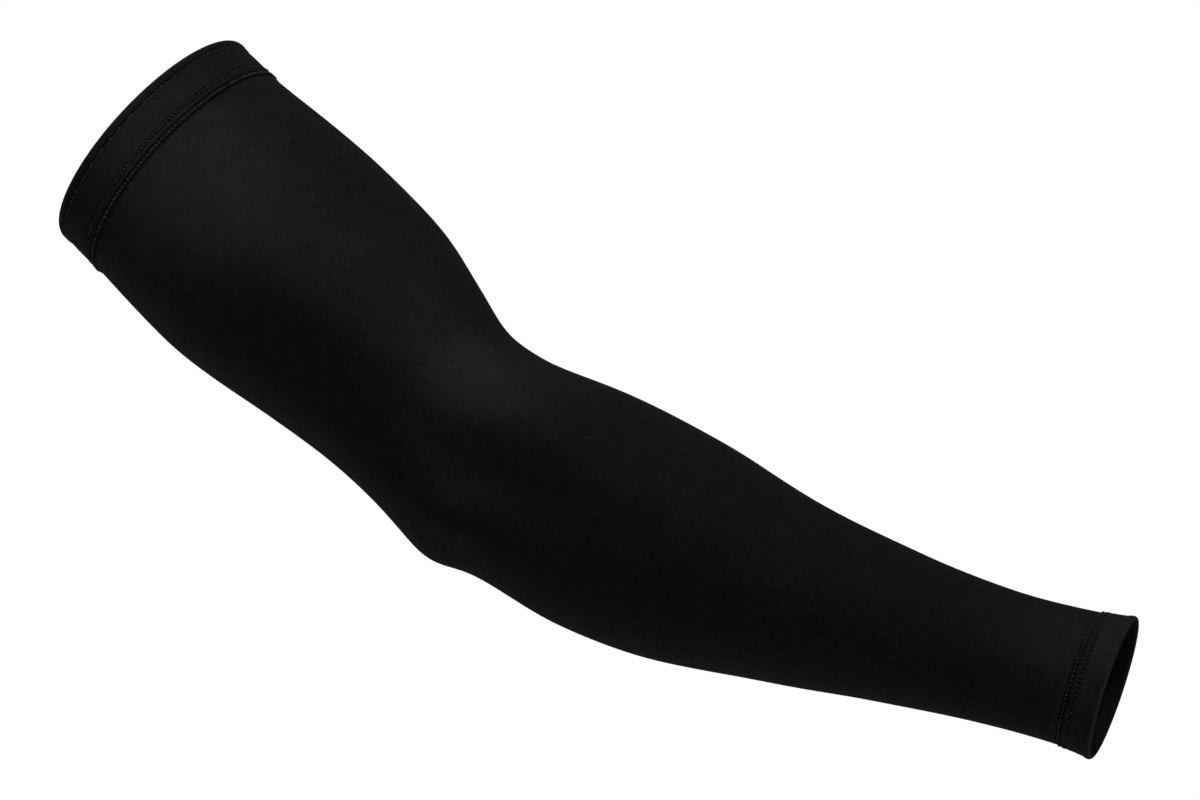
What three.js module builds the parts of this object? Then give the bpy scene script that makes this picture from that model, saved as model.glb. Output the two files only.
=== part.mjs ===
// A long compression arm sleeve in the form that it has on a slightly bent arm.
// A hollow knit tube runs from the upper arm to the wrist. Its upper end has a doubled cuff with a
// bound edge and a ribbed flat seam, and its wrist end a ribbed flat seam and a turned hem.
// Sizes are in millimetres, with +Z up. The arm bends in the XZ plane, biceps side up, and the
// origin is the centre of the upper mouth, where the arm goes in.
import * as THREE from "three";

// Driving dimensions
const KNIT = 1.0; // thickness of one layer of knit
const SEWN_GAP = 0.3; // clearance left between two pieces that are sewn together
const SIDES = 40; // flats round one section
const TUBE_STATIONS = 42; // sections along the tube

const BINDING_WIDTH = 3.7; // bound edge, from the upper mouth
const BINDING_THICK = 2.4;
const BINDING_LIFT = 1.1; // height of the bound edge above the tube's surface
const CUFF_END = 14.6; // end of the upper cuff, from the upper mouth
const UPPER_SEAM_END = 19.9; // end of the upper seam, from the upper mouth
const WRIST_SEAM_START = 12.6; // start of the wrist seam, back from the wrist mouth
const WRIST_HEM_START = 8.6; // start of the wrist hem, back from the wrist mouth

// Outer form of the worn sleeve, a row for each section across the arm.
//   x, z    centre of the section in the plane of the bend
//   lean    direction in which the sleeve runs there, in degrees above the horizontal
//   height  size from the biceps side to the elbow side
//   width   size across the arm, along Y
//   egg     share by which the biceps side is wider than the elbow side
const SECTIONS = [
  { place: "upper mouth", x: 0, z: 0, lean: -42, height: 96, width: 84.5, egg: 0 },
  { place: "upper seam", x: 14, z: -13, lean: -41.5, height: 97, width: 86.5, egg: 0 },
  { place: "triceps swell", x: 48, z: -42.5, lean: -43, height: 101.5, width: 92, egg: 0.04 },
  { place: "biceps swell", x: 80.5, z: -68.5, lean: -42, height: 94, width: 87.5, egg: 0.05 },
  { place: "biceps end", x: 99.5, z: -87, lean: -40, height: 84, width: 82.5, egg: 0.05 },
  { place: "above the elbow", x: 114, z: -103, lean: -35, height: 78.5, width: 80.5, egg: 0.08 },
  { place: "elbow point", x: 128, z: -116, lean: -26.5, height: 82, width: 80.5, egg: 0.14 },
  { place: "below the elbow", x: 145.5, z: -124, lean: -21.5, height: 81.5, width: 81, egg: 0.12 },
  { place: "forearm swell", x: 173.5, z: -137, lean: -19, height: 86.5, width: 81, egg: 0.1 },
  { place: "upper forearm", x: 206.5, z: -151, lean: -21, height: 82, width: 75, egg: 0.08 },
  { place: "middle forearm", x: 245, z: -165.5, lean: -22, height: 67, width: 64, egg: 0.05 },
  { place: "lower forearm", x: 287, z: -178, lean: -22, height: 54.5, width: 53, egg: 0.02 },
  { place: "above the wrist", x: 321, z: -187, lean: -20.5, height: 48, width: 45.5, egg: 0 },
  { place: "wrist seam", x: 350.5, z: -194, lean: -17.5, height: 48.5, width: 43, egg: 0 },
  { place: "wrist mouth", x: 362, z: -197, lean: -17.5, height: 51.5, width: 44, egg: 0 },
];

// Low rises and hollows where the knit follows bone and muscle, alike on both sides of the arm.
//   along   middle of the swell, from the upper mouth
//   round   middle of the swell, in degrees from the biceps side
//   length  spread along the arm
//   spread  spread round the arm, in degrees
//   rise    height of its middle, below zero for a hollow
const SWELLS = [
  { place: "side of the upper arm", along: 88, round: 83, length: 29, spread: 13, rise: 3.5 },
  { place: "inner elbow fold", along: 174, round: 32, length: 12, spread: 9, rise: 2.2 },
  { place: "elbow bone", along: 183, round: 118, length: 9, spread: 10, rise: 3 },
  { place: "elbow point", along: 176, round: 180, length: 6, spread: 30, rise: 1.5 },
  { place: "forearm muscle", along: 204, round: 50, length: 18, spread: 18, rise: 4 },
  { place: "forearm hollow", along: 195, round: 88, length: 44, spread: 14, rise: -4 },
  { place: "forearm ridge", along: 207, round: 113, length: 14, spread: 9, rise: 1.2 },
];

// Surfaces of the bands at the two ends, from the upper arm towards the wrist.
//   share  place across the band's width
//   lift   height above the tube's surface
const CUFF_PROFILE = [
  { place: "edge under the binding", share: 0, lift: 0.2 },
  { place: "flat", share: 0.08, lift: 0.5 },
  { place: "flat", share: 0.92, lift: 0.5 },
  { place: "edge at the seam", share: 1, lift: 0.3 },
];
const SEAM_PROFILE = [
  { place: "first needle groove", share: 0, lift: 0.3 },
  { place: "first needle groove", share: 0.14, lift: 0.3 },
  { place: "rib", share: 0.26, lift: 0.8 },
  { place: "rib", share: 0.56, lift: 0.8 },
  { place: "second needle groove", share: 0.68, lift: 0.3 },
  { place: "low ridge", share: 0.82, lift: 0.6 },
  { place: "low ridge", share: 0.95, lift: 0.5 },
  { place: "crease", share: 1, lift: 0.3 },
];
const HEM_PROFILE = [
  { place: "edge at the seam", share: 0, lift: 0.3 },
  { place: "flat", share: 0.09, lift: 0.4 },
  { place: "flat", share: 0.54, lift: 0.4 },
  { place: "fold line", share: 0.6, lift: 0.2 },
  { place: "lip", share: 0.69, lift: 0.6 },
  { place: "lip", share: 0.91, lift: 0.6 },
  { place: "mouth", share: 1, lift: -0.2 },
];

// Smooth curves through the rows: where the sections are, and what form they have.
const throughRows = (pick) =>
  new THREE.CatmullRomCurve3(SECTIONS.map(pick), false, "catmullrom", 0.5);
const centreLine = throughRows((row) => new THREE.Vector3(row.x, 0, row.z));
const sizeLine = throughRows((row) => new THREE.Vector3(row.height, row.width, 0));
const turnLine = throughRows((row) => new THREE.Vector3(row.lean, row.egg, 0));
centreLine.arcLengthDivisions = 400;
const SLEEVE_LENGTH = centreLine.getLength();

// The section at a distance along the centre line from the upper mouth.
function sectionAt(along) {
  const share = centreLine.getUtoTmapping(0, along);
  const size = sizeLine.getPoint(share);
  const turn = turnLine.getPoint(share);
  const lean = THREE.MathUtils.degToRad(turn.x);
  return {
    along,
    centre: centreLine.getPoint(share),
    up: new THREE.Vector3(-Math.sin(lean), 0, Math.cos(lean)),
    halfHeight: size.x / 2,
    halfWidth: size.y / 2,
    egg: turn.y,
  };
}

// The rise of all the swells together at a place on the arm.
function swellAt(along, angle) {
  const round = THREE.MathUtils.radToDeg(Math.acos(Math.cos(angle)));
  let rise = 0;
  for (const swell of SWELLS) {
    const away = (along - swell.along) / swell.length;
    const aside = (round - swell.round) / swell.spread;
    rise += swell.rise * Math.exp(-(away * away + aside * aside) / 2);
  }
  return rise;
}

// A point of the section, at an angle from its biceps side and a height above the tube's surface.
const ACROSS = new THREE.Vector3(0, 1, 0);
function pointOn(section, angle, lift) {
  const height = lift + swellAt(section.along, angle);
  const rise = Math.cos(angle);
  const reach = Math.sin(angle) * (1 + section.egg * rise);
  return section.centre
    .clone()
    .addScaledVector(section.up, rise * (section.halfHeight + height))
    .addScaledVector(ACROSS, reach * (section.halfWidth + height));
}

// A closed wall that runs round the arm. The profile is a loop of { along, lift } rows: the outside
// from the upper end to the wrist end, and then the inside back again.
function wallRound(profile) {
  const positions = [];
  for (const { along, lift } of profile) {
    const section = sectionAt(along);
    for (let side = 0; side < SIDES; side++) {
      positions.push(...pointOn(section, (2 * Math.PI * side) / SIDES, lift).toArray());
    }
  }
  const faces = [];
  profile.forEach((_, row) => {
    const next = (row + 1) % profile.length;
    for (let side = 0; side < SIDES; side++) {
      const beside = (side + 1) % SIDES;
      const a = row * SIDES + side;
      const b = row * SIDES + beside;
      const c = next * SIDES + beside;
      const d = next * SIDES + side;
      faces.push(a, c, b, a, d, c);
    }
  });
  const geometry = new THREE.BufferGeometry();
  geometry.setAttribute("position", new THREE.Float32BufferAttribute(positions, 3));
  geometry.setIndex(faces);
  geometry.computeVertexNormals();
  return geometry;
}

// A band of knit between two places along the arm: a shaped outside over a smooth inside.
function band(start, end, profile) {
  const outside = profile.map(({ share, lift }) => ({
    along: THREE.MathUtils.lerp(start, end, share),
    lift,
  }));
  return wallRound([...outside, { along: end, lift: -KNIT }, { along: start, lift: -KNIT }]);
}

// Bound edge: a folded strip with a round nose at the mouth.
function edgeBinding() {
  const noseRadius = BINDING_THICK / 2;
  const nose = [-90, -135, 180, 135, 90].map((degrees) => {
    const angle = THREE.MathUtils.degToRad(degrees);
    return {
      along: noseRadius * (1 + Math.cos(angle)),
      lift: BINDING_LIFT + noseRadius * (Math.sin(angle) - 1),
    };
  });
  return wallRound([
    ...nose,
    { along: BINDING_WIDTH, lift: BINDING_LIFT },
    { along: BINDING_WIDTH, lift: -KNIT },
  ]);
}

// Arm tube: one layer of knit from the upper seam to the wrist seam.
function armTube() {
  const start = UPPER_SEAM_END + SEWN_GAP;
  const end = SLEEVE_LENGTH - WRIST_SEAM_START - SEWN_GAP;
  const outside = [];
  for (let station = 0; station < TUBE_STATIONS; station++) {
    const share = station / (TUBE_STATIONS - 1);
    outside.push({ along: THREE.MathUtils.lerp(start, end, share), lift: 0 });
  }
  const inside = outside.map(({ along }) => ({ along, lift: -KNIT })).reverse();
  return wallRound([...outside, ...inside]);
}

const upperCuff = () => band(BINDING_WIDTH + SEWN_GAP, CUFF_END, CUFF_PROFILE);
const upperSeam = () => band(CUFF_END + SEWN_GAP, UPPER_SEAM_END, SEAM_PROFILE);
const wristSeam = () =>
  band(SLEEVE_LENGTH - WRIST_SEAM_START, SLEEVE_LENGTH - WRIST_HEM_START, SEAM_PROFILE);
const wristHem = () =>
  band(SLEEVE_LENGTH - WRIST_HEM_START + SEWN_GAP, SLEEVE_LENGTH, HEM_PROFILE);

// Black knit in the finishes of the pieces.
const blackKnit = (color, roughness) =>
  new THREE.MeshStandardMaterial({ color, roughness, metalness: 0 });
const TUBE_KNIT = blackKnit(0x141415, 0.72);
const BAND_KNIT = blackKnit(0x121213, 0.78);
const BINDING_KNIT = blackKnit(0x101011, 0.82);

function piece(name, geometry, material) {
  const mesh = new THREE.Mesh(geometry, material);
  mesh.name = name;
  return mesh;
}

const armSleeve = new THREE.Group();
armSleeve.add(
  piece("edge_binding", edgeBinding(), BINDING_KNIT),
  piece("upper_cuff", upperCuff(), BAND_KNIT),
  piece("upper_seam", upperSeam(), BAND_KNIT),
  piece("arm_tube", armTube(), TUBE_KNIT),
  piece("wrist_seam", wristSeam(), BAND_KNIT),
  piece("wrist_hem", wristHem(), BAND_KNIT),
);

export default armSleeve;
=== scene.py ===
import math

import bpy
import numpy as np
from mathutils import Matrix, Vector


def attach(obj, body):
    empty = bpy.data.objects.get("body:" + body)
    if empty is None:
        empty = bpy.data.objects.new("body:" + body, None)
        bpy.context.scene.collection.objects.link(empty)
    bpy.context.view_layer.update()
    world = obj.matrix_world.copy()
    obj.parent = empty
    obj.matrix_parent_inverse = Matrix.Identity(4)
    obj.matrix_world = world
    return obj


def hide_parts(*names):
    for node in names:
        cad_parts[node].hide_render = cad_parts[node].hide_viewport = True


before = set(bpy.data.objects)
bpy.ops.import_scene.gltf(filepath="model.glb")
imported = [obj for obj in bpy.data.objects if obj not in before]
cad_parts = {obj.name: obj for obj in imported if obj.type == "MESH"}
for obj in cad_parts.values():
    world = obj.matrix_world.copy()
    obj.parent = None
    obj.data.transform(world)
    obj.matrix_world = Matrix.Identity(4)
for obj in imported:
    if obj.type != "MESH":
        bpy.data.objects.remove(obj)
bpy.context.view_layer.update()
print("frame loaded:", ", ".join(sorted(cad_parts)))

perMetre = 1000  # the sleeve's sizes are in millimetres and its points in metres


# Form of the worn sleeve in millimetres and degrees, the same rows as the part's:
# x, z, lean, height, width and egg of each section across the arm
armForm = {
    "sections": [
        (0, 0, -42, 96, 84.5, 0),  # upper mouth
        (14, -13, -41.5, 97, 86.5, 0),  # upper seam
        (48, -42.5, -43, 101.5, 92, 0.04),  # triceps swell
        (80.5, -68.5, -42, 94, 87.5, 0.05),  # biceps swell
        (99.5, -87, -40, 84, 82.5, 0.05),  # biceps end
        (114, -103, -35, 78.5, 80.5, 0.08),  # above the elbow
        (128, -116, -26.5, 82, 80.5, 0.14),  # elbow point
        (145.5, -124, -21.5, 81.5, 81, 0.12),  # below the elbow
        (173.5, -137, -19, 86.5, 81, 0.1),  # forearm swell
        (206.5, -151, -21, 82, 75, 0.08),  # upper forearm
        (245, -165.5, -22, 67, 64, 0.05),  # middle forearm
        (287, -178, -22, 54.5, 53, 0.02),  # lower forearm
        (321, -187, -20.5, 48, 45.5, 0),  # above the wrist
        (350.5, -194, -17.5, 48.5, 43, 0),  # wrist seam
        (362, -197, -17.5, 51.5, 44, 0),  # wrist mouth
    ],
    # along, degrees round from the biceps side, length, spread and rise of each swell
    "swells": [
        (88, 83, 29, 13, 3.5),  # side of the upper arm
        (174, 32, 12, 9, 2.2),  # inner elbow fold
        (183, 118, 9, 10, 3),  # elbow bone
        (176, 180, 6, 30, 1.5),  # elbow point
        (204, 50, 18, 18, 4),  # forearm muscle
        (195, 88, 44, 14, -4),  # forearm hollow
        (207, 113, 14, 9, 1.2),  # forearm ridge
    ],
    "fineSteps": 4000,  # on the curve through the sections
    "step": 0.5,  # between the worked-out sections
    "soften": 3.5,  # evens out the bends between the rows
}


def throughRows(rows, spots):
    # smooth curve through the rows, at fractional row numbers
    ends = np.vstack([2 * rows[0] - rows[1], rows, 2 * rows[-1] - rows[-2]])
    first = np.clip(spots.astype(int), 0, len(rows) - 2)
    t = (spots - first)[:, None]
    before, start, end, after = (ends[first + k] for k in range(4))
    return (start + t * (end - before) / 2
            + t**2 * (2 * before - 5 * start + 4 * end - after) / 2
            + t**3 * (3 * start - before - 3 * end + after) / 2)


def walkedAlong(points):
    # length of a line up to each of its points, from their first two columns
    return np.concatenate([[0], np.cumsum(np.hypot(*np.diff(points[:, :2], axis=0).T))])


def softened(table, step, reach):
    # running mean with a bell curve, mirrored through both end rows
    count = int(3 * reach / step)
    bell = np.exp(-0.5 * (np.arange(-count, count + 1) * step / reach) ** 2)
    bell /= bell.sum()
    head = 2 * table[0] - table[count:0:-1]
    tail = 2 * table[-1] - table[-2:-count - 2:-1]
    long = np.vstack([head, table, tail])
    return np.column_stack([np.convolve(column, bell, "valid") for column in long.T])


def layOutArm(form):
    rows = np.array(form["sections"], float)
    fine = throughRows(rows, np.linspace(0, len(rows) - 1, form["fineSteps"]))
    walked = walkedAlong(fine)
    places = np.arange(0, walked[-1], form["step"])
    table = np.column_stack([np.interp(places, walked, column) for column in fine.T])
    return places, softened(table, form["step"], form["soften"]), walked[-1]


armPlaces, armTable, sleeveLength = layOutArm(armForm)


def onArm(along, angle, lift):
    # points in metres: mm along the sleeve, radians round from the biceps side, mm above the knit
    x, z, lean, height, width, egg = (np.interp(along, armPlaces, column) for column in armTable.T)
    past = np.clip(along - armPlaces[-1], 0, None)  # beyond the last worked-out section
    lean = np.radians(lean)
    x = x + past * np.cos(lean)
    z = z + past * np.sin(lean)
    roundDegrees = np.degrees(np.arccos(np.cos(angle)))
    for middle, side, length, spread, rise in armForm["swells"]:
        away = ((along - middle) / length) ** 2 + ((roundDegrees - side) / spread) ** 2
        lift = lift + rise * np.exp(-away / 2)
    rise = np.cos(angle)
    reach = np.sin(angle) * (1 + egg * rise)
    high = rise * (height / 2 + lift)
    wide = reach * (width / 2 + lift)
    return np.stack([x - np.sin(lean) * high, wide, z + np.cos(lean) * high], -1) / perMetre


def girthAt(along):
    # metres round the sleeve at places along it
    height, width = (np.interp(along, armPlaces, armTable[:, column]) for column in (3, 4))
    return math.pi * (height + width) / 2 / perMetre


def selectOnly(piece):
    bpy.ops.object.select_all(action="DESELECT")
    piece.select_set(True)
    bpy.context.view_layer.objects.active = piece


def closeUp(piece):
    # merges the seams, turns the faces outwards and shades them smooth
    selectOnly(piece)
    bpy.ops.object.mode_set(mode="EDIT")
    bpy.ops.mesh.select_all(action="SELECT")
    bpy.ops.mesh.remove_doubles(threshold=1e-6)
    bpy.ops.mesh.normals_make_consistent(inside=False)
    bpy.ops.object.mode_set(mode="OBJECT")
    bpy.ops.object.shade_smooth()


def clothRing(name, profile, sides, shape):
    # wraps a grid round the arm: the profile is a closed loop of (along, lift) in millimetres,
    # the outside towards the wrist and the inside back, and shape adds to the lift
    loop = np.array(list(profile) + [profile[0]], float)
    rows = len(loop) - 1
    bpy.ops.object.select_all(action="DESELECT")
    bpy.ops.mesh.primitive_grid_add(x_subdivisions=sides, y_subdivisions=rows, size=2, calc_uvs=True)
    piece = bpy.context.object
    piece.name = piece.data.name = name
    mesh = piece.data
    spots = np.empty(len(mesh.vertices) * 3)
    mesh.vertices.foreach_get("co", spots)
    spots = spots.reshape(-1, 3)
    angle = spots[:, 0] * math.pi
    row = np.rint((spots[:, 1] + 1) / 2 * rows).astype(int)
    along, lift = loop[row, 0], loop[row, 1]
    lift = lift + shape(along, angle)
    mesh.vertices.foreach_set("co", onArm(along, angle, lift).ravel())
    # the map is the cloth in metres: part of the girth across, length of the profile along
    walked = walkedAlong(loop) / perMetre
    vertexOf = np.empty(len(mesh.loops), int)
    mesh.loops.foreach_get("vertex_index", vertexOf)
    flat = np.column_stack([spots[:, 0] / 2 * girthAt(along), walked[row]])[vertexOf]
    mesh.uv_layers.active.data.foreach_set("uv", flat.ravel())
    mesh.update()
    closeUp(piece)
    return piece


def smoothProfile(points, spacing, stepsPerPoint=60):
    # evenly spaced points on the smooth curve through a band's profile
    points = np.array(points, float)
    fine = throughRows(points, np.linspace(0, len(points) - 1, stepsPerPoint * len(points)))
    walked = walkedAlong(fine)
    places = np.linspace(0, walked[-1], max(3, int(walked[-1] / spacing)))
    return np.column_stack([np.interp(places, walked, column) for column in fine.T])


def wave(angle, count, sway=0, sways=1):
    # waves round the arm, whose places sway to and fro
    return np.sin(angle * count + sway * np.sin(angle * sways))


def near(along, place, reach):
    # 1 at a place along the arm, less on both sides of it
    return np.exp(-((along - place) / reach) ** 2)


# Faint unevenness of stretched knit over an arm: a short and a long ripple, lengths in millimetres
knitRipple = {
    "height": 0.05,
    "short": 6.1,
    "shortSway": 1.3,
    "shortSways": 3,
    "shortCount": 5,
    "shortDrift": 31,
    "long": 11.7,
    "longShare": 0.8,
    "longCount": 2,
    "longSway": 2,
    "longDrift": 53,
}


def ripple(along, angle):
    size = knitRipple
    short = np.sin(along / size["short"] + size["shortSway"] * np.sin(size["shortSways"] * angle))
    short = short * np.sin(size["shortCount"] * angle + along / size["shortDrift"])
    drift = size["longSway"] * np.sin(along / size["longDrift"])
    long = np.sin(along / size["long"] - size["longCount"] * angle + drift)
    return size["height"] * (short + size["longShare"] * long)


# Arm tube: one layer of knit between the two ribbed seams
armTube = {
    "start": 19.95,
    "end": sleeveLength - 12.65,
    "knit": 1.0,
    "edge": 0.3,  # rounding of the cut edges
    "rowStep": 2.0,
    "innerStep": 7.0,
    "sides": 168,
}


def makeArmTube(size):
    start, end, edge = size["start"], size["end"], size["edge"]
    outside = np.append(np.arange(start, end, size["rowStep"])[:-1], end)
    inside = np.append(np.arange(end, start, -size["innerStep"])[:-1], start)
    profile = [(start, -edge), (start + edge, 0)]
    profile += [(place, 0) for place in outside[1:-1]]
    profile += [(end - edge, 0), (end, -edge)]
    profile += [(place, -size["knit"]) for place in inside]
    return clothRing("sleeveTube", profile, size["sides"], ripple)


# Bound edge of the upper mouth: a strip folded over the edge, (along, lift) from inside to outside
edgeBinding = {
    "profile": [(3.65, -1.35), (2.4, -1.45), (1.1, -1.3), (0.35, -0.8), (0.0, -0.1), (0.25, 0.6),
                (0.9, 1.0), (1.7, 1.1), (2.6, 0.95), (3.2, 0.6), (3.6, 0.1), (3.65, -0.5)],
    "spacing": 0.22,
    "sides": 420,
    "pucker": 0.07,
    "puckerAt": 3.0,
    "puckerReach": 1.2,
    # count, sway and sways of the puckers, and of the finer ones among them
    "puckers": (61, 2, 7),
    "finePuckers": (97, 3, 5),
    "fineShare": 0.6,
}


def makeEdgeBinding(size):
    def pucker(along, angle):
        rise = wave(angle, *size["puckers"]) + size["fineShare"] * wave(angle, *size["finePuckers"])
        return size["pucker"] * rise * near(along, size["puckerAt"], size["puckerReach"])

    profile = smoothProfile(size["profile"], size["spacing"])
    return clothRing("upperBinding", profile, size["sides"], pucker)


# Doubled cuff with a raised, slightly ragged edge beside the binding
upperCuff = {
    "profile": [(3.78, -0.9), (3.76, -0.1), (3.86, 0.5), (4.15, 0.78), (4.6, 0.66), (5.4, 0.6), (8.5, 0.68),
                (11.5, 0.62), (13.4, 0.55), (14.2, 0.45), (14.66, 0.3), (14.68, -0.95)],
    "spacing": 0.24,
    "sides": 640,
    "ragged": 0.16,
    "raggedAt": 4.1,
    "raggedReach": 0.3,
    "notches": (83, 4, 11),  # count, sway and sways
    "bunches": 29,  # of notches
    "bunchShift": 2,
    "fineNotches": 157,
    "fineShare": 0.5,
}


def makeUpperCuff(size):
    def ragged(along, angle):
        rise = wave(angle, *size["notches"]) * np.sin(angle * size["bunches"] + size["bunchShift"])
        rise = rise + size["fineShare"] * wave(angle, size["fineNotches"])
        edge = size["ragged"] * rise * near(along, size["raggedAt"], size["raggedReach"])
        return edge + ripple(along, angle)

    profile = smoothProfile(size["profile"], size["spacing"])
    return clothRing("upperCuffBand", profile, size["sides"], ragged)


# Ribbed flat seams: grooves where the needle pulls the knit down on both sides of a rib
upperSeam = {
    "profile": [(14.74, -0.95), (14.74, 0.25), (15.0, 0.3), (15.5, 0.15), (15.95, 0.4), (16.5, 0.6),
                (17.3, 0.62), (17.9, 0.48), (18.3, 0.15), (18.7, 0.35), (19.2, 0.45), (19.6, 0.3),
                (19.88, -0.1), (19.88, -0.95)],
    "spacing": 0.22,
    "stitches": 184,
    "perStitch": 8,
    # along, share of a stitch, depth, half length and half width of each row of needle holes
    "holes": [(15.5, 0.0, 0.6, 0.34, 0.26), (18.3, 0.5, 0.55, 0.32, 0.42)],
}
wristSeam = {
    "profile": [(-12.58, -0.95), (-12.58, -0.1), (-12.35, 0.18), (-11.9, 0.22), (-11.45, 0.1), (-11.05, 0.36),
                (-10.5, 0.5), (-9.9, 0.5), (-9.35, 0.36), (-8.95, 0.1), (-8.68, 0.15), (-8.66, -0.95)],
    "spacing": 0.2,
    "stitches": 92,
    "perStitch": 10,
    "holes": [(-11.45, 0.0, 0.45, 0.3, 0.34), (-8.95, 0.5, 0.5, 0.3, 0.3)],
}


def makeSeam(name, size, origin):
    pitch = 2 * math.pi / size["stitches"]

    def needled(along, angle):
        stitch = perMetre * girthAt(along) / size["stitches"]
        lift = np.zeros_like(along)
        for place, share, depth, halfLong, halfWide in size["holes"]:
            aside = ((angle / pitch - share + 0.5) % 1 - 0.5) * stitch
            away = ((along - origin - place) / halfLong) ** 2 + (aside / halfWide) ** 2
            lift -= depth * np.exp(-0.5 * away)
        return lift

    profile = smoothProfile(size["profile"], size["spacing"])
    profile[:, 0] += origin
    return clothRing(name, profile, size["stitches"] * size["perStitch"], needled)


# Turned hem of the wrist with a fold line and a rounded lip, along from the wrist mouth
wristHem = {
    "profile": [(-8.6, -0.95), (-8.6, 0.1), (-8.45, 0.4), (-8.05, 0.44), (-7.0, 0.38), (-5.0, 0.38),
                (-3.9, 0.38), (-3.45, 0.26), (-3.0, 0.38), (-2.2, 0.56), (-1.4, 0.58), (-0.7, 0.36),
                (-0.2, -0.05), (0.0, -0.5), (-0.2, -0.95), (-0.8, -1.3), (-2.0, -1.35), (-5.0, -1.2)],
    "spacing": 0.2,
    "sides": 480,
    "fold": 0.06,
    "foldAt": -3.2,
    "foldReach": 0.7,
    "foldWaves": (37, 3, 6),  # count, sway and sways
    "rippleShare": 0.6,
}


def makeWristHem(size):
    def worn(along, angle):
        onFold = near(along - sleeveLength, size["foldAt"], size["foldReach"])
        fold = size["fold"] * wave(angle, *size["foldWaves"]) * onFold
        return fold + size["rippleShare"] * ripple(along, angle)

    profile = smoothProfile(size["profile"], size["spacing"])
    profile[:, 0] += sleeveLength
    return clothRing("wristHemBand", profile, size["sides"], worn)


tube = makeArmTube(armTube)
binding = makeEdgeBinding(edgeBinding)
cuff = makeUpperCuff(upperCuff)
seamUpper = makeSeam("upperSeamRib", upperSeam, 0)
seamWrist = makeSeam("wristSeamRib", wristSeam, sleeveLength)
hem = makeWristHem(wristHem)
print("knit pieces wrapped on the arm, sleeve length %.1f mm" % sleeveLength)


# Stitches: one short thread with both ends dipping into the cloth, copied along the rows
threadStitch = {"length": 0.88, "width": 0.5, "height": 0.54, "dip": 0.25, "segments": 8, "rings": 6}


def makeThread(size):
    bpy.ops.object.select_all(action="DESELECT")
    bpy.ops.mesh.primitive_uv_sphere_add(segments=size["segments"], ring_count=size["rings"], radius=1,
                                         rotation=(0, math.pi / 2, 0))
    bpy.ops.object.transform_apply(rotation=True)
    thread = bpy.context.object
    spots = np.array([v.co for v in thread.data.vertices])
    faces = [tuple(p.vertices) for p in thread.data.polygons]
    bpy.data.objects.remove(thread)
    shape = spots * (size["length"] / 2, size["width"] / 2, size["height"] / 2)
    shape[:, 2] -= size["dip"] * np.abs(spots[:, 0]) ** 3
    return shape, faces


def stitchRows(name, rows, shape, faces):
    # each row: along and lift in millimetres, and then the angle, turn and size of each stitch
    points, polygons = [], []
    for place, lift, angles, turns, sizes in rows:
        count = len(angles)
        along = np.full(count, float(place))
        height = np.full(count, float(lift))
        centre = onArm(along, angles, height)
        beside = onArm(along, angles + 1e-3, height) - centre
        ahead = onArm(along + 0.1, angles, height) - centre
        beside /= np.linalg.norm(beside, axis=1)[:, None]
        out = np.cross(ahead, beside)
        out /= np.linalg.norm(out, axis=1)[:, None]
        outwards = onArm(along, angles, height + 1) - centre
        out *= np.sign(np.sum(out * outwards, axis=1))[:, None]
        ahead = np.cross(beside, out)
        way = beside * np.cos(turns)[:, None] + ahead * np.sin(turns)[:, None]
        across = np.cross(out, way)
        scaled = shape[None] * sizes[:, None, None] / perMetre
        placed = (centre[:, None] + scaled[..., :1] * way[:, None] + scaled[..., 1:2] * across[:, None]
                  + scaled[..., 2:] * out[:, None])
        base = sum(len(p) for p in points)
        points.append(placed.reshape(-1, 3))
        for copy in range(count):
            first = base + copy * len(shape)
            polygons += [tuple(first + v for v in face) for face in faces]
    mesh = bpy.data.meshes.new(name)
    mesh.from_pydata(np.concatenate(points).tolist(), [], polygons)
    piece = bpy.data.objects.new(name, mesh)
    bpy.context.collection.objects.link(piece)
    closeUp(piece)
    return piece


def rowAngles(count, share, jitter, seed):
    wander = np.random.default_rng(seed).normal(0, jitter, count)
    return (np.arange(count) + share + wander) / count * 2 * math.pi


def evenSizes(count, spread, seed):
    return 1 + np.random.default_rng(seed).normal(0, spread, count)


def sewnRow(row, count, origin):
    # one row of a seam, whose stitches turn by the first and the second amount by turns
    angles = rowAngles(count, row["share"], row["jitter"], row["seeds"][0])
    turns = np.where(np.arange(count) % 2, row["turns"][1], row["turns"][0])
    sizes = row["scale"] * evenSizes(count, row["spread"], row["seeds"][1])
    return origin + row["along"], row["lift"], angles, turns, sizes


# Rows of the upper seam, in millimetres, shares of a stitch and radians
upperThread = {
    "dots": {"along": 15.45, "lift": 0.58, "share": 0.5, "jitter": 0.05, "turns": (0.25, 0.25),
             "scale": 1.0, "spread": 0.1, "seeds": (1, 2)},
    "zigzag": {"along": 18.95, "lift": 0.66, "share": 0.25, "jitter": 0.14, "turns": (-0.5, 0.8),
               "scale": 1.0, "spread": 0.22, "seeds": (3, 4)},
}
# Pale thread along the ragged edge of the cuff, partly thread and partly a painted highlight of that
# raised edge, and loose loops over the ditch beside it: the turns are a middle and a spread, and the
# sizes a smallest and a largest
looseThread = {
    "seed": 5,
    # painted highlight: this pale row lies on the cuff's raised edge, where the light catches it
    "frayedEdgeAndHighlight": {"along": 4.02, "lift": 0.72, "count": 400, "share": 0.5, "jitter": 0.2, "seed": 10,
               "turns": (0, 0.2), "sizes": (0.5, 0.75)},
    "flecks": {"along": 3.75, "lift": 0.8, "count": 130, "turns": (1.3, 0.5), "sizes": (0.5, 1.0)},
}
# Rows of the wrist seam, along from the wrist mouth
wristThread = {
    "first": {"along": -11.95, "lift": 0.3, "share": 0.5, "jitter": 0.05, "turns": (0.5, 0.5),
              "scale": 0.74, "spread": 0.1, "seeds": (6, 7)},
    "second": {"along": -8.9, "lift": 0.26, "share": 0.0, "jitter": 0.05, "turns": (0.4, 0.4),
               "scale": 0.74, "spread": 0.1, "seeds": (8, 9)},
}


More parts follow.
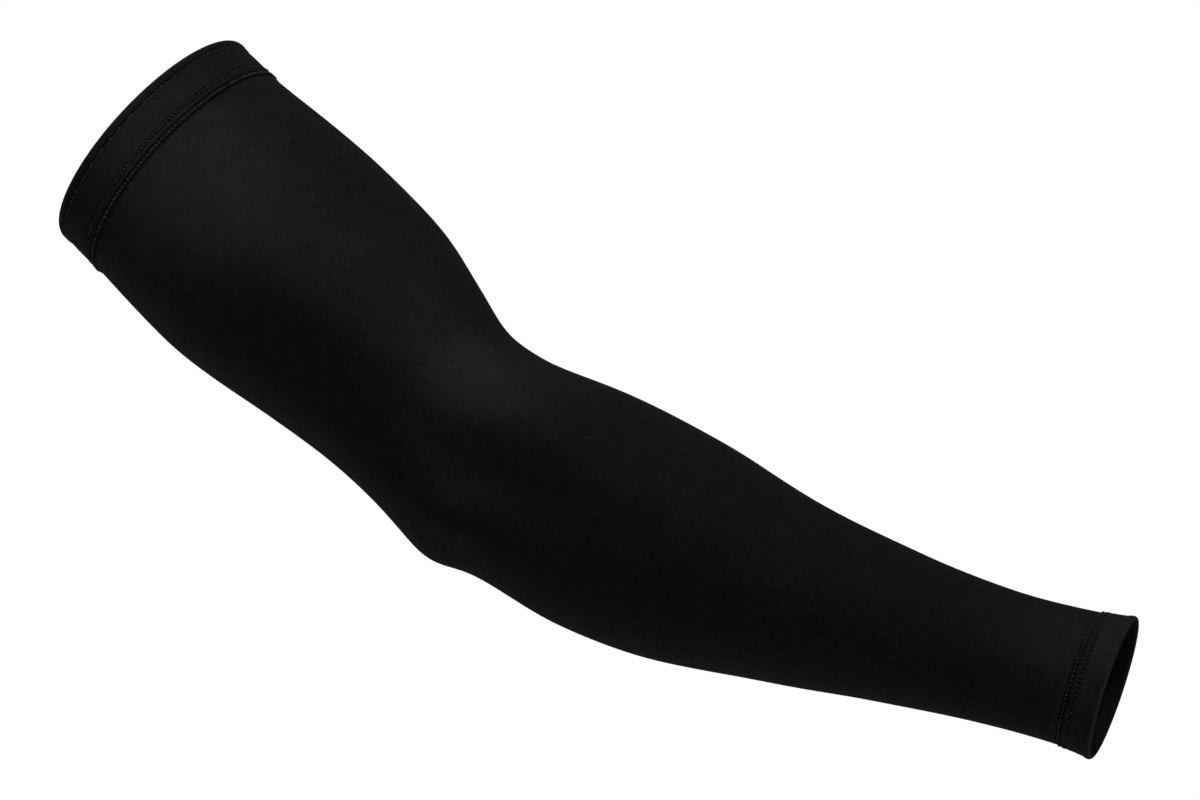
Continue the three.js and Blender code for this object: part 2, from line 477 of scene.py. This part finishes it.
def looseRows(size):
    draws = np.random.default_rng(size["seed"])
    frayedEdgeAndHighlight, flecks = size["frayedEdgeAndHighlight"], size["flecks"]
    line, some = frayedEdgeAndHighlight["count"], flecks["count"]
    angles = rowAngles(line, frayedEdgeAndHighlight["share"], frayedEdgeAndHighlight["jitter"], frayedEdgeAndHighlight["seed"])
    return [
        (frayedEdgeAndHighlight["along"], frayedEdgeAndHighlight["lift"], angles,
         draws.normal(*frayedEdgeAndHighlight["turns"], line), draws.uniform(*frayedEdgeAndHighlight["sizes"], line)),
        (flecks["along"], flecks["lift"], draws.uniform(0, 2 * math.pi, some),
         draws.normal(*flecks["turns"], some), draws.uniform(*flecks["sizes"], some)),
    ]


def upperStitches(count):
    rows = [sewnRow(row, count, 0) for row in upperThread.values()]
    return stitchRows("upperStitches", rows + looseRows(looseThread), *makeThread(threadStitch))


def wristStitches(count):
    rows = [sewnRow(row, count, sleeveLength) for row in wristThread.values()]
    return stitchRows("wristStitches", rows, *makeThread(threadStitch))


threadUpper = upperStitches(upperSeam["stitches"])
threadWrist = wristStitches(wristSeam["stitches"])
print("stitches sewn:", upperSeam["stitches"] * 2, "upper,", wristSeam["stitches"] * 2, "wrist")


class Shade:
    # a value in a material; maths on it adds the nodes that work it out
    def __init__(self, finish, socket):
        self.finish = finish
        self.socket = socket

    def __add__(self, other):
        return self.finish.maths("ADD", self, other)

    def __sub__(self, other):
        return self.finish.maths("SUBTRACT", self, other)

    def __rsub__(self, other):
        return self.finish.maths("SUBTRACT", other, self)

    def __mul__(self, other):
        return self.finish.maths("MULTIPLY", self, other)

    def __truediv__(self, other):
        return self.finish.maths("DIVIDE", self, other)

    def __pow__(self, other):
        return self.finish.maths("POWER", self, other)

    __radd__ = __add__
    __rmul__ = __mul__


class Finish:
    # one material and its nodes
    def __init__(self, name):
        self.material = bpy.data.materials.new(name)
        self.material.use_nodes = True
        self.tree = self.material.node_tree
        self.shader = self.tree.nodes["Principled BSDF"]
        self.surface = Shade(self, self.shader.outputs[0])

    def fill(self, node, inputs):
        for key, value in inputs.items():
            if isinstance(value, Shade):
                self.tree.links.new(value.socket, node.inputs[key])
            else:
                node.inputs[key].default_value = value

    def node(self, kind, settings=None, inputs=None, output=0):
        node = self.tree.nodes.new(kind)
        for key, value in (settings or {}).items():
            setattr(node, key, value)
        self.fill(node, inputs or {})
        return Shade(self, node.outputs[output])

    def maths(self, operation, first, second=0.0):
        return self.node("ShaderNodeMath", {"operation": operation}, {0: first, 1: second})

    def noise(self, place, scale, span):
        # three-dimensional noise, spread from 0 to 1 between the two values of its span
        cloud = self.node("ShaderNodeTexNoise", {"noise_dimensions": "3D"},
                          {"Vector": place, "Scale": scale, "Detail": 2.0, "Roughness": 0.6}, "Fac")
        return self.node("ShaderNodeMapRange", None,
                         {"Value": cloud, "From Min": span[0], "From Max": span[1]})

    def blend(self, factor, first, second):
        # a Mix node's colours go in at 6 and 7 and come out at 2
        return self.node("ShaderNodeMix", {"data_type": "RGBA"}, {"Factor": factor, 6: first, 7: second}, 2)

    def relief(self, height, distance, strength):
        return self.node("ShaderNodeBump", None,
                         {"Height": height, "Distance": distance, "Strength": strength})

    def showMix(self, factor, first, second):
        mixed = self.node("ShaderNodeMixShader", None, {0: factor, 1: first, 2: second})
        self.fill(self.tree.nodes["Material Output"], {"Surface": mixed})


def grey(value, blue=1.04):
    return (value, value, value * blue, 1)


def partly(mask, share):
    # a mask that takes away its share at most
    return 1 - share + mask * share


def knitFinish(name, look):
    # black knit: V-shaped loops on the cloth's own map with painted shade in the gaps between them, fine
    # speckle, soft blotches and a few pale fibres, all of it duller on the back
    finish = Finish(name)
    place = finish.node("ShaderNodeTexCoord", None, None, "Object")
    cloth = finish.node("ShaderNodeTexCoord", None, None, "UV")
    across = finish.node("ShaderNodeSeparateXYZ", None, {0: cloth}, "X")
    along = finish.node("ShaderNodeSeparateXYZ", None, {0: cloth}, "Y")
    half = 0.5  # of a loop, which has one leg on each side
    inWale = finish.maths("PINGPONG", across / look["wale"], half)
    course = along / look["course"] + inWale * look["legSlant"]
    inCourse = finish.maths("PINGPONG", course, half) / half
    fromLeg = finish.maths("ABSOLUTE", inWale / (half / 2) - 1)
    loops = inCourse * (1 - fromLeg ** look["legShape"])
    speckle = finish.noise(place, look["speckleScale"], look["speckleSpan"])
    blotch = finish.noise(place, look["blotchScale"], look["blotchSpan"])
    mottle = finish.noise(place, look["mottleScale"], look["mottleSpan"])
    fibres = finish.noise(place, look["fibreScale"], look["fibreSpan"])
    # painted shade: low between the loops the surface mixes towards a dark shader; speckle, blotch and mottle
    # add random tone
    toneAndGapShade = partly(loops, look["loop"]) * partly(speckle, look["speckle"])
    toneAndGapShade = toneAndGapShade * partly(blotch, look["blotch"])
    toneAndGapShade = toneAndGapShade * partly(mottle, look["mottle"])
    if look["outside"]:
        back = finish.maths("GREATER_THAN", along, look["outside"])
        toneAndGapShade = toneAndGapShade * (1 - back * look["dullBack"])
    height = (loops * look["loopHeight"] + speckle * look["speckleHeight"]
              + mottle * look["mottleHeight"])
    # near-black shader that paints the shade in the gaps between the loops
    paintedGapShade = finish.node("ShaderNodeBsdfPrincipled", None, {
        "Base Color": grey(look["paintedGapShade"]),
        "Roughness": look["gapRoughness"],
        "Specular IOR Level": look["gapSpecular"],
    })
    finish.showMix(toneAndGapShade, paintedGapShade, finish.surface)
    finish.fill(finish.shader, {
        "Base Color": finish.blend(fibres, grey(look["base"]), grey(look["fibre"])),
        "Roughness": look["roughness"] + (speckle - 0.5) * look["roughnessSpread"],
        "Specular IOR Level": look["specular"],
        "Sheen Weight": look["sheen"],
        "Sheen Roughness": look["sheenRoughness"],
        "Normal": finish.relief(height, look["bumpDistance"], look["bump"]),
    })
    return finish.material


# Scales are per metre, and wale, course, outside and bumpDistance are in metres
tubeKnit = {
    "base": 0.017,
    "fibre": 0.08,
    "fibreScale": 1700.0,
    "fibreSpan": (0.62, 0.8),
    # colour of the painted shade in the gaps between the loops
    "paintedGapShade": 0.002,
    "gapRoughness": 0.8,
    "gapSpecular": 0.04,
    "roughness": 0.4,
    "roughnessSpread": 0.12,
    "specular": 0.6,
    "sheen": 0.16,
    "sheenRoughness": 0.2,
    "wale": 0.00072,
    "course": 0.00072,
    "legSlant": 1.2,
    "legShape": 2.0,
    # share of painted shade that darkens the gaps between the loops
    "loop": 0.5,
    "loopHeight": 0.12,
    "speckleScale": 1350.0,
    "speckleSpan": (0.33, 0.67),
    "speckle": 0.46,
    "speckleHeight": 0.09,
    "blotchScale": 85.0,
    "blotchSpan": (0.3, 0.7),
    "blotch": 0.16,
    "mottleScale": 300.0,
    "mottleSpan": (0.3, 0.7),
    "mottle": 0.2,
    "mottleHeight": 0.1,
    # length of the map up to the back of the cloth, with both rounded edges
    "outside": (armTube["end"] - armTube["start"] + 0.8) / perMetre,
    "dullBack": 0.5,
    "bump": 0.8,
    "bumpDistance": 0.001,
}
bandKnit = dict(tubeKnit, base=0.018, roughness=0.44, outside=None)
hemKnit = dict(tubeKnit, base=0.025, roughness=0.46, specular=0.72, outside=0.0106)
seamKnit = dict(bandKnit, base=0.014, roughness=0.48)
edgeKnit = dict(bandKnit, base=0.018, roughness=0.48, sheen=0.34)


def threadFinish(name, look):
    # twisted sewing thread, paler and glossier than the knit, with painted shade between its strands and a
    # painted highlight on them
    finish = Finish(name)
    place = finish.node("ShaderNodeTexCoord", None, None, "Object")
    twist = finish.node("ShaderNodeTexNoise", {"noise_dimensions": "3D"},
                        {"Vector": place, "Scale": look["twistScale"], "Detail": 1.0, "Roughness": 0.5}, "Fac")
    # painted shade and painted highlight: darker where the twist's bump is low, paler where it is high
    dark, pale = (grey(look["base"] * share) for share in look["strandShadeAndLight"])
    finish.fill(finish.shader, {
        "Base Color": finish.blend(twist, dark, pale),
        "Roughness": look["roughness"] + twist * look["roughnessSpread"],
        "Specular IOR Level": look["specular"],
        "Normal": finish.relief(twist, look["bumpDistance"], look["bump"]),
    })
    return finish.material


sewingThread = {
    "base": 0.105,
    "twistScale": 2600.0,
    # painted shade between the strands and a painted highlight on their tops
    "strandShadeAndLight": (0.6, 1.4),  # shares of the base, between the strands and on them
    "roughness": 0.35,
    "roughnessSpread": 0.2,
    "specular": 0.4,
    "bump": 0.5,
    "bumpDistance": 0.0001,
}


finishes = {
    "tube_knit": knitFinish("tubeKnit", tubeKnit),
    "band_knit": knitFinish("bandKnit", bandKnit),
    "hem_knit": knitFinish("hemKnit", hemKnit),
    "seam_knit": knitFinish("seamKnit", seamKnit),
    "edge_knit": knitFinish("edgeKnit", edgeKnit),
}
threadMaterial = threadFinish("sewingThread", sewingThread)


def dress(piece, material, node=None):
    piece.data.materials.clear()
    piece.data.materials.append(material)
    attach(piece, "root")
    if node:
        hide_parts(node)


dress(tube, finishes["tube_knit"], "arm_tube")
dress(binding, finishes["edge_knit"], "edge_binding")
dress(cuff, finishes["band_knit"], "upper_cuff")
dress(seamUpper, finishes["seam_knit"], "upper_seam")
dress(seamWrist, finishes["seam_knit"], "wrist_seam")
dress(hem, finishes["hem_knit"], "wrist_hem")
dress(threadUpper, threadMaterial)
dress(threadWrist, threadMaterial)
# the tube's cloth lies flat as a tapered piece, wider at the upper arm
print("finishes set")


# Studio: the photo's camera, a pale floor well below the sleeve, softboxes and small soft spots
studio = {
    "aim": (0.1755, 0, -0.0973),
    "azimuth": 17.5,
    "distance": 1.4,
    "lens": 116.67,
    "sensor": 36.0,
    "floorHeight": -1.3,
    "floorRadius": 9.1,
    "floorSides": 96,
    "floorTone": 0.8,
    "floorRoughness": 0.9,
    "floorGlow": 0.88,  # paleness of the floor for the camera
    "backdrop": 1.0,
    "roomLight": 0.07,
    # place, width and power of each square softbox, which points at the aim
    "lights": {
        "upperArmSoftbox": ((-0.072, -0.332, 0.12), 0.1, 0.026),
        "frontSoftbox": ((0.006, -0.266, 0.149), 0.28, 0.11),
        "elbowSoftbox": ((0.154, -0.151, 0.301), 0.1, 0.016),
        "rightSoftbox": ((1.777, -0.663, 1.257), 1.54, 5.2),
        "lowRightSoftbox": ((1.078, -0.039, -1.032), 0.9, 2.0),
        "overheadSoftbox": ((-0.313, 0.202, 1.09), 0.9, 1.35),
        "backSoftbox": ((-1.548, 0.714, -1.263), 1.54, 0.34),
    },
    # place, aim, width of the cone in degrees and power of each soft spot
    "spots": {
        "upperArmSpot": ((-0.115, -0.475, 0.21), (0.026, -0.065, -0.006), 11, 1.5),
        "bicepsSpot": ((0.477, -0.304, 0.346), (0.112, -0.03, -0.046), 8, 0.9),
        "elbowFoldSpot": ((0.173, -0.169, 0.397), (0.136, -0.03, -0.087), 6, 2.6),
        "wristSpot": ((0.6, -0.35, 0.25), (0.362, -0.015, -0.176), 8, 2.0),
    },
    "spotSize": 0.02,
    "spotBlend": 1.0,
}


def turnTo(place, aim):
    return (Vector(aim) - Vector(place)).to_track_quat("-Z", "Y").to_euler()


def setCamera(look):
    bearing = math.radians(look["azimuth"])
    back = Vector((math.sin(bearing), -math.cos(bearing), 0))
    place = Vector(look["aim"]) + back * look["distance"]
    bpy.ops.object.camera_add(location=place, rotation=turnTo(place, look["aim"]))
    camera = bpy.context.object
    camera.data.lens = look["lens"]
    camera.data.sensor_width = look["sensor"]
    camera.data.sensor_fit = "HORIZONTAL"
    bpy.context.scene.camera = camera


def layFloor(look):
    bpy.ops.mesh.primitive_circle_add(vertices=look["floorSides"], radius=look["floorRadius"],
                                      fill_type="NGON", location=(look["aim"][0], 0, look["floorHeight"]))
    floor = bpy.context.object
    floor.name = "studioFloor"
    paint = Finish("studioFloor")
    paint.fill(paint.shader, {"Base Color": grey(look["floorTone"], 1.0), "Roughness": look["floorRoughness"]})
    glow = paint.node("ShaderNodeEmission", None, {"Color": grey(look["floorGlow"], 1.0)})
    seen = paint.node("ShaderNodeLightPath", None, None, "Is Camera Ray")
    paint.showMix(seen, paint.surface, glow)
    floor.data.materials.append(paint.material)


def addLight(kind, name, place, aim, power):
    bpy.ops.object.light_add(type=kind, location=place, rotation=turnTo(place, aim))
    light = bpy.context.object
    light.name = name
    light.data.energy = power
    light.visible_camera = False
    return light.data


def setLights(look):
    for name, (place, width, power) in look["lights"].items():
        lamp = addLight("AREA", name, place, look["aim"], power)
        lamp.shape = "SQUARE"
        lamp.size = width
    for name, (place, aim, cone, power) in look["spots"].items():
        lamp = addLight("SPOT", name, place, aim, power)
        lamp.spot_size = math.radians(cone)
        lamp.spot_blend = look["spotBlend"]
        lamp.shadow_soft_size = look["spotSize"]


def setRoom(look):
    # a dim, even room round the sleeve, and a white backdrop for the camera
    world = bpy.data.worlds.new("studioRoom")
    bpy.context.scene.world = world
    world.use_nodes = True
    tree = world.node_tree
    tree.nodes.clear()
    ray = tree.nodes.new("ShaderNodeLightPath")
    mix = tree.nodes.new("ShaderNodeMixShader")
    output = tree.nodes.new("ShaderNodeOutputWorld")
    tree.links.new(ray.outputs["Is Camera Ray"], mix.inputs["Fac"])
    for socket, strength in ((1, look["roomLight"]), (2, look["backdrop"])):
        light = tree.nodes.new("ShaderNodeBackground")
        light.inputs["Color"].default_value = (1, 1, 1, 1)
        light.inputs["Strength"].default_value = strength
        tree.links.new(light.outputs[0], mix.inputs[socket])
    tree.links.new(mix.outputs[0], output.inputs["Surface"])


setCamera(studio)
layFloor(studio)
setLights(studio)
setRoom(studio)
bpy.context.scene.view_settings.view_transform = "Standard"
bpy.context.scene.view_settings.look = "None"
print("studio set")
